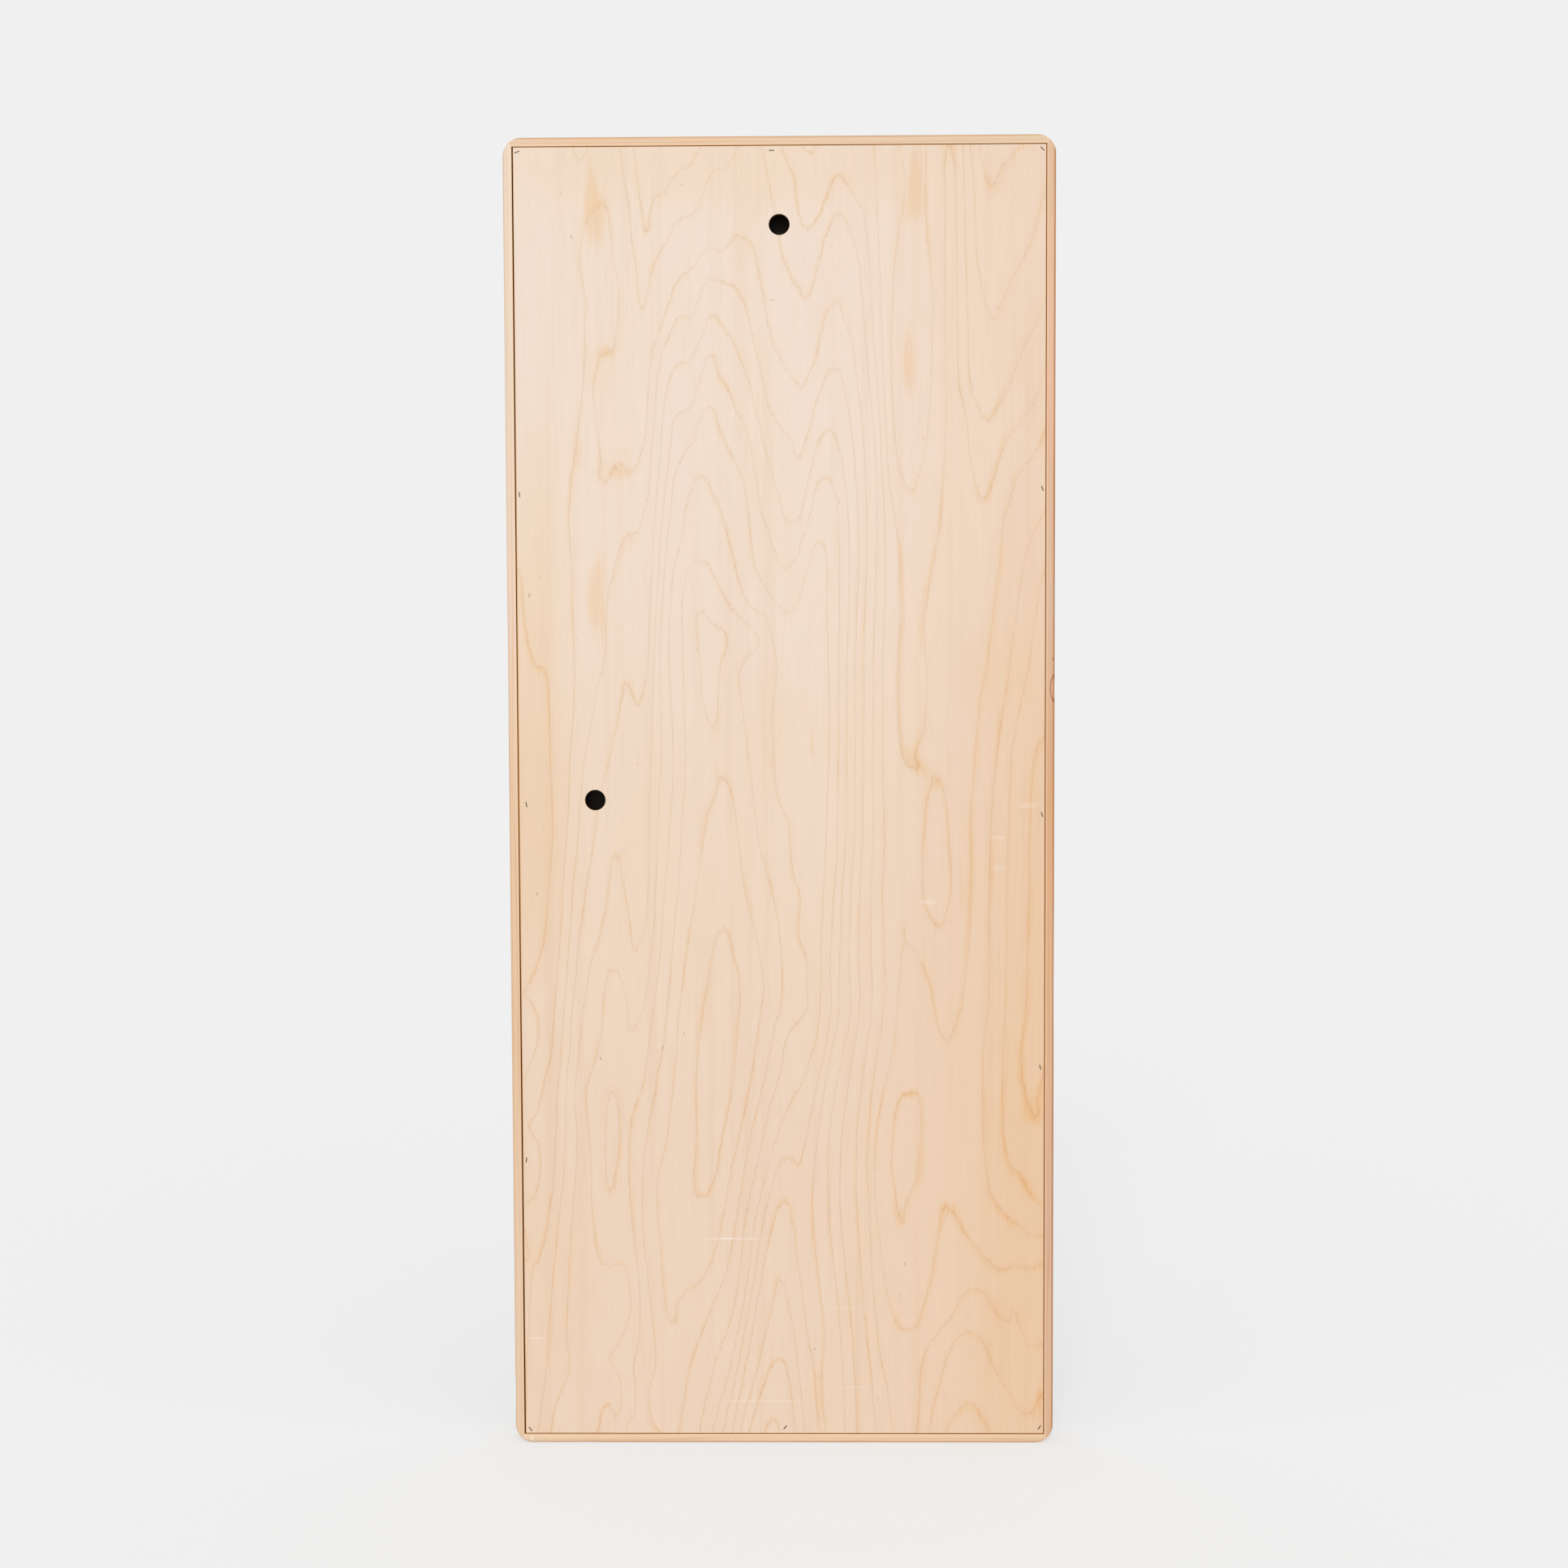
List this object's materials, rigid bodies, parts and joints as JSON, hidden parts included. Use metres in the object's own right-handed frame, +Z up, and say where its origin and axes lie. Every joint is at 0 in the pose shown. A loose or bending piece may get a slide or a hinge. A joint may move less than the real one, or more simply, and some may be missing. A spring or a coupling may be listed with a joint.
{
  "type": "slant board",
  "caption": "Hollow framed wooden exercise board with round corners, a stapled veneer back with hang holes, and a non-slip deck.",
  "frame": {"origin": "middle of the foot end's flat face, where the board stands", "axes": "+Z up along the board's length towards its head, +X to the right seen from the back, +Y out of the deck"},
  "size_m": [0.762, 0.0444, 1.8288],
  "materials": {
    "maple_rail": "solid maple, sanded and clear lacquered",
    "maple_veneer": "rotary-cut maple veneer on plywood, satin clear lacquer",
    "deck_film": "birch plywood faced with dark brown phenolic film, wire-mesh print on the walking side",
    "pine_strip": "planed pine, unfinished",
    "beech_tenon": "pressed beech, unfinished",
    "staple_wire": "dull galvanised wire",
    "black_screw": "black oxide"
  },
  "bodies": {
    "root": {"rail_left": "maple_rail", "rail_right": "maple_rail", "rail_head": "maple_rail", "rail_foot": "maple_rail", "back_panel": "maple_veneer", "deck_panel": "deck_film", "stile_1": "pine_strip", "stile_2": "pine_strip", "rib_1": "pine_strip", "rib_2": "pine_strip", "rib_3": "pine_strip", "rib_4": "pine_strip", "mitre_tenon_head_left": "beech_tenon", "mitre_tenon_head_right": "beech_tenon", "mitre_tenon_foot_left": "beech_tenon", "mitre_tenon_foot_right": "beech_tenon", "staple_head_left": "staple_wire", "staple_head_middle": "staple_wire", "staple_head_right": "staple_wire", "staple_left_upper": "staple_wire", "staple_right_upper": "staple_wire", "staple_left_middle": "staple_wire", "staple_right_middle": "staple_wire", "staple_left_lower": "staple_wire", "staple_right_lower": "staple_wire", "staple_foot_left": "staple_wire", "staple_foot_middle": "staple_wire", "staple_foot_right": "staple_wire", "deck_screw_left_1": "black_screw", "deck_screw_left_2": "black_screw", "deck_screw_left_3": "black_screw", "deck_screw_left_4": "black_screw", "deck_screw_left_5": "black_screw", "deck_screw_left_6": "black_screw", "deck_screw_left_7": "black_screw", "deck_screw_left_8": "black_screw", "deck_screw_right_1": "black_screw", "deck_screw_right_2": "black_screw", "deck_screw_right_3": "black_screw", "deck_screw_right_4": "black_screw", "deck_screw_right_5": "black_screw", "deck_screw_right_6": "black_screw", "deck_screw_right_7": "black_screw", "deck_screw_right_8": "black_screw", "deck_screw_head_1": "black_screw", "deck_screw_head_2": "black_screw", "deck_screw_head_3": "black_screw", "deck_screw_head_4": "black_screw", "deck_screw_foot_1": "black_screw", "deck_screw_foot_2": "black_screw", "deck_screw_foot_3": "black_screw", "deck_screw_foot_4": "black_screw"}
  },
  "joints": []
}
